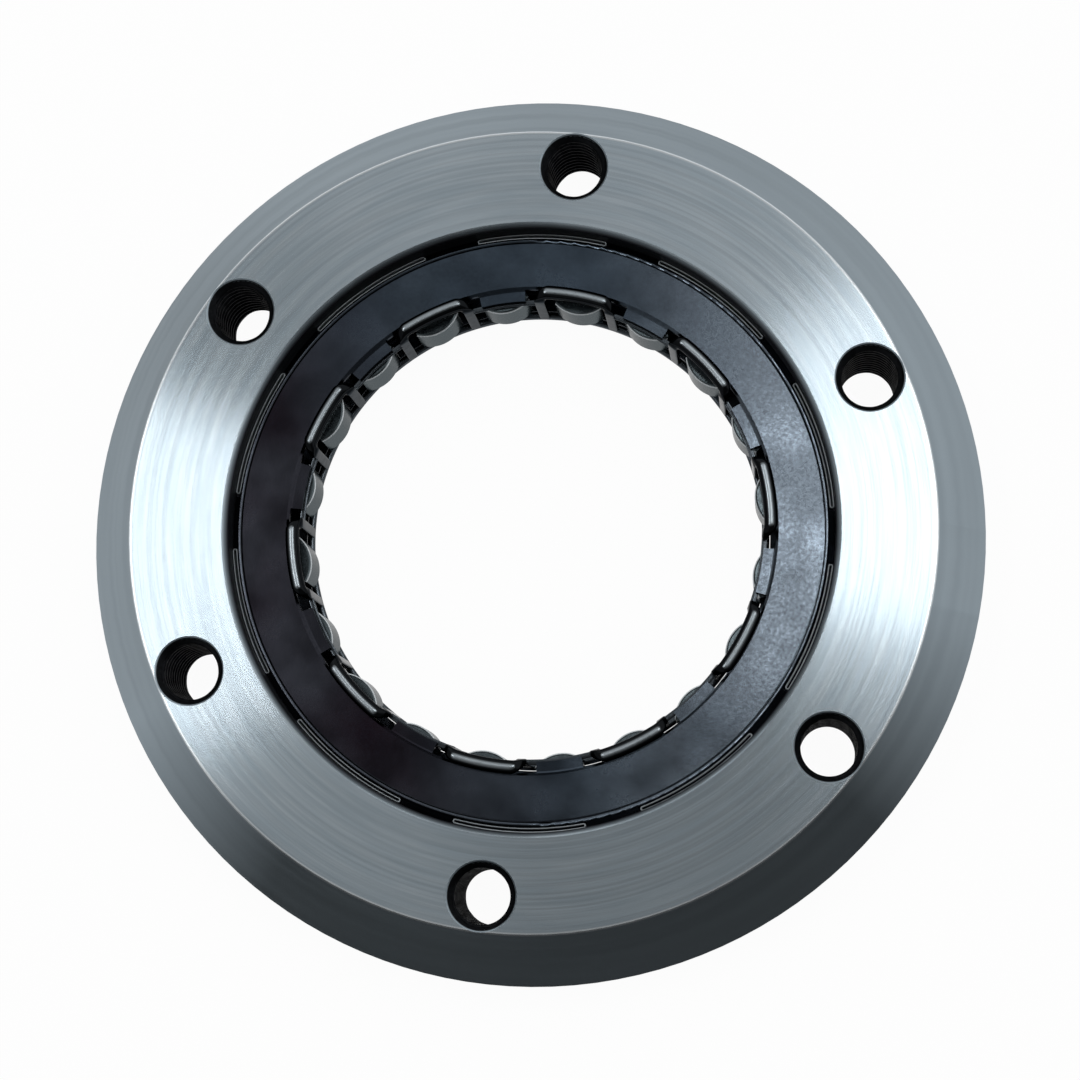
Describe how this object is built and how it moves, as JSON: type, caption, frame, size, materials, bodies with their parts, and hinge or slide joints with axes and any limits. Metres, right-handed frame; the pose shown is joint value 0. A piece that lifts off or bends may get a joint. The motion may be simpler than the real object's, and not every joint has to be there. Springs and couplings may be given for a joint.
{
  "type": "one-way sprag clutch",
  "caption": "Round steel one-way clutch ring with a sprag insert, bevelled rim and tapped bolt circle; it lets a starter turn a hub and then overrun.",
  "frame": {"origin": "centre of the ring on its back face", "axes": "+Z along the ring's axis, out of the turned front face; +X and +Y in the ring's plane"},
  "size_m": [0.111, 0.111, 0.015],
  "materials": {
    "turned_steel": "turned bare steel",
    "cage_steel": "heat-treated pressed sheet, blue-black",
    "black_steel": "glossy black oxide",
    "spring_steel": "bright spring strip",
    "sprag_steel": "satin tumbled bearing steel"
  },
  "bodies": {
    "housing": {"housing": "turned_steel", "outer_cage": "cage_steel", "side_plate": "cage_steel", "ribbon_spring": "spring_steel"},
    "inner_cage": {"inner_cage": "black_steel"},
    "sprag_01": {"sprag_01": "sprag_steel"},
    "sprag_02": {"sprag_02": "sprag_steel"},
    "sprag_03": {"sprag_03": "sprag_steel"},
    "sprag_04": {"sprag_04": "sprag_steel"},
    "sprag_05": {"sprag_05": "sprag_steel"},
    "sprag_06": {"sprag_06": "sprag_steel"},
    "sprag_07": {"sprag_07": "sprag_steel"},
    "sprag_08": {"sprag_08": "sprag_steel"},
    "sprag_09": {"sprag_09": "sprag_steel"},
    "sprag_10": {"sprag_10": "sprag_steel"},
    "sprag_11": {"sprag_11": "sprag_steel"},
    "sprag_12": {"sprag_12": "sprag_steel"},
    "sprag_13": {"sprag_13": "sprag_steel"},
    "sprag_14": {"sprag_14": "sprag_steel"},
    "sprag_15": {"sprag_15": "sprag_steel"},
    "sprag_16": {"sprag_16": "sprag_steel"},
    "sprag_17": {"sprag_17": "sprag_steel"},
    "sprag_18": {"sprag_18": "sprag_steel"},
    "sprag_19": {"sprag_19": "sprag_steel"},
    "sprag_20": {"sprag_20": "sprag_steel"}
  },
  "joints": [
    {"name": "inner_cage_shift", "type": "hinge", "parent": "housing", "child": "inner_cage", "pos_m": [0, 0, 0.0075], "axis": [0, 0, 1], "range_deg": [0, 1.2], "stiffness_Nm_per_rad": 0.1, "springref_deg": -1.15},
    {"name": "sprag_01_tilt", "type": "hinge", "parent": "housing", "child": "sprag_01", "pos_m": [0.0315, 0.00246, 0.0075], "axis": [0, 0, 1], "range_deg": [-12, 0]},
    {"name": "sprag_02_tilt", "type": "hinge", "parent": "housing", "child": "sprag_02", "pos_m": [0.0292, 0.01208, 0.0075], "axis": [0, 0, 1], "range_deg": [-12, 0]},
    {"name": "sprag_03_tilt", "type": "hinge", "parent": "housing", "child": "sprag_03", "pos_m": [0.02404, 0.02051, 0.0075], "axis": [0, 0, 1], "range_deg": [-12, 0]},
    {"name": "sprag_04_tilt", "type": "hinge", "parent": "housing", "child": "sprag_04", "pos_m": [0.01653, 0.02693, 0.0075], "axis": [0, 0, 1], "range_deg": [-12, 0]},
    {"name": "sprag_05_tilt", "type": "hinge", "parent": "housing", "child": "sprag_05", "pos_m": [0.00739, 0.03072, 0.0075], "axis": [0, 0, 1], "range_deg": [-12, 0]},
    {"name": "sprag_06_tilt", "type": "hinge", "parent": "housing", "child": "sprag_06", "pos_m": [-0.00246, 0.0315, 0.0075], "axis": [0, 0, 1], "range_deg": [-12, 0]},
    {"name": "sprag_07_tilt", "type": "hinge", "parent": "housing", "child": "sprag_07", "pos_m": [-0.01208, 0.0292, 0.0075], "axis": [0, 0, 1], "range_deg": [-12, 0]},
    {"name": "sprag_08_tilt", "type": "hinge", "parent": "housing", "child": "sprag_08", "pos_m": [-0.02051, 0.02404, 0.0075], "axis": [0, 0, 1], "range_deg": [-12, 0]},
    {"name": "sprag_09_tilt", "type": "hinge", "parent": "housing", "child": "sprag_09", "pos_m": [-0.02693, 0.01653, 0.0075], "axis": [0, 0, 1], "range_deg": [-12, 0]},
    {"name": "sprag_10_tilt", "type": "hinge", "parent": "housing", "child": "sprag_10", "pos_m": [-0.03072, 0.00739, 0.0075], "axis": [0, 0, 1], "range_deg": [-12, 0]},
    {"name": "sprag_11_tilt", "type": "hinge", "parent": "housing", "child": "sprag_11", "pos_m": [-0.0315, -0.00246, 0.0075], "axis": [0, 0, 1], "range_deg": [-12, 0]},
    {"name": "sprag_12_tilt", "type": "hinge", "parent": "housing", "child": "sprag_12", "pos_m": [-0.0292, -0.01208, 0.0075], "axis": [0, 0, 1], "range_deg": [-12, 0]},
    {"name": "sprag_13_tilt", "type": "hinge", "parent": "housing", "child": "sprag_13", "pos_m": [-0.02404, -0.02051, 0.0075], "axis": [0, 0, 1], "range_deg": [-12, 0]},
    {"name": "sprag_14_tilt", "type": "hinge", "parent": "housing", "child": "sprag_14", "pos_m": [-0.01653, -0.02693, 0.0075], "axis": [0, 0, 1], "range_deg": [-12, 0]},
    {"name": "sprag_15_tilt", "type": "hinge", "parent": "housing", "child": "sprag_15", "pos_m": [-0.00739, -0.03072, 0.0075], "axis": [0, 0, 1], "range_deg": [-12, 0]},
    {"name": "sprag_16_tilt", "type": "hinge", "parent": "housing", "child": "sprag_16", "pos_m": [0.00246, -0.0315, 0.0075], "axis": [0, 0, 1], "range_deg": [-12, 0]},
    {"name": "sprag_17_tilt", "type": "hinge", "parent": "housing", "child": "sprag_17", "pos_m": [0.01208, -0.0292, 0.0075], "axis": [0, 0, 1], "range_deg": [-12, 0]},
    {"name": "sprag_18_tilt", "type": "hinge", "parent": "housing", "child": "sprag_18", "pos_m": [0.02051, -0.02404, 0.0075], "axis": [0, 0, 1], "range_deg": [-12, 0]},
    {"name": "sprag_19_tilt", "type": "hinge", "parent": "housing", "child": "sprag_19", "pos_m": [0.02693, -0.01653, 0.0075], "axis": [0, 0, 1], "range_deg": [-12, 0]},
    {"name": "sprag_20_tilt", "type": "hinge", "parent": "housing", "child": "sprag_20", "pos_m": [0.03072, -0.00739, 0.0075], "axis": [0, 0, 1], "range_deg": [-12, 0]}
  ],
  "couplings": [
    {"joint": "sprag_01_tilt", "follows": "inner_cage_shift", "ratio": -10},
    {"joint": "sprag_02_tilt", "follows": "inner_cage_shift", "ratio": -10},
    {"joint": "sprag_03_tilt", "follows": "inner_cage_shift", "ratio": -10},
    {"joint": "sprag_04_tilt", "follows": "inner_cage_shift", "ratio": -10},
    {"joint": "sprag_05_tilt", "follows": "inner_cage_shift", "ratio": -10},
    {"joint": "sprag_06_tilt", "follows": "inner_cage_shift", "ratio": -10},
    {"joint": "sprag_07_tilt", "follows": "inner_cage_shift", "ratio": -10},
    {"joint": "sprag_08_tilt", "follows": "inner_cage_shift", "ratio": -10},
    {"joint": "sprag_09_tilt", "follows": "inner_cage_shift", "ratio": -10},
    {"joint": "sprag_10_tilt", "follows": "inner_cage_shift", "ratio": -10},
    {"joint": "sprag_11_tilt", "follows": "inner_cage_shift", "ratio": -10},
    {"joint": "sprag_12_tilt", "follows": "inner_cage_shift", "ratio": -10},
    {"joint": "sprag_13_tilt", "follows": "inner_cage_shift", "ratio": -10},
    {"joint": "sprag_14_tilt", "follows": "inner_cage_shift", "ratio": -10},
    {"joint": "sprag_15_tilt", "follows": "inner_cage_shift", "ratio": -10},
    {"joint": "sprag_16_tilt", "follows": "inner_cage_shift", "ratio": -10},
    {"joint": "sprag_17_tilt", "follows": "inner_cage_shift", "ratio": -10},
    {"joint": "sprag_18_tilt", "follows": "inner_cage_shift", "ratio": -10},
    {"joint": "sprag_19_tilt", "follows": "inner_cage_shift", "ratio": -10},
    {"joint": "sprag_20_tilt", "follows": "inner_cage_shift", "ratio": -10}
  ]
}
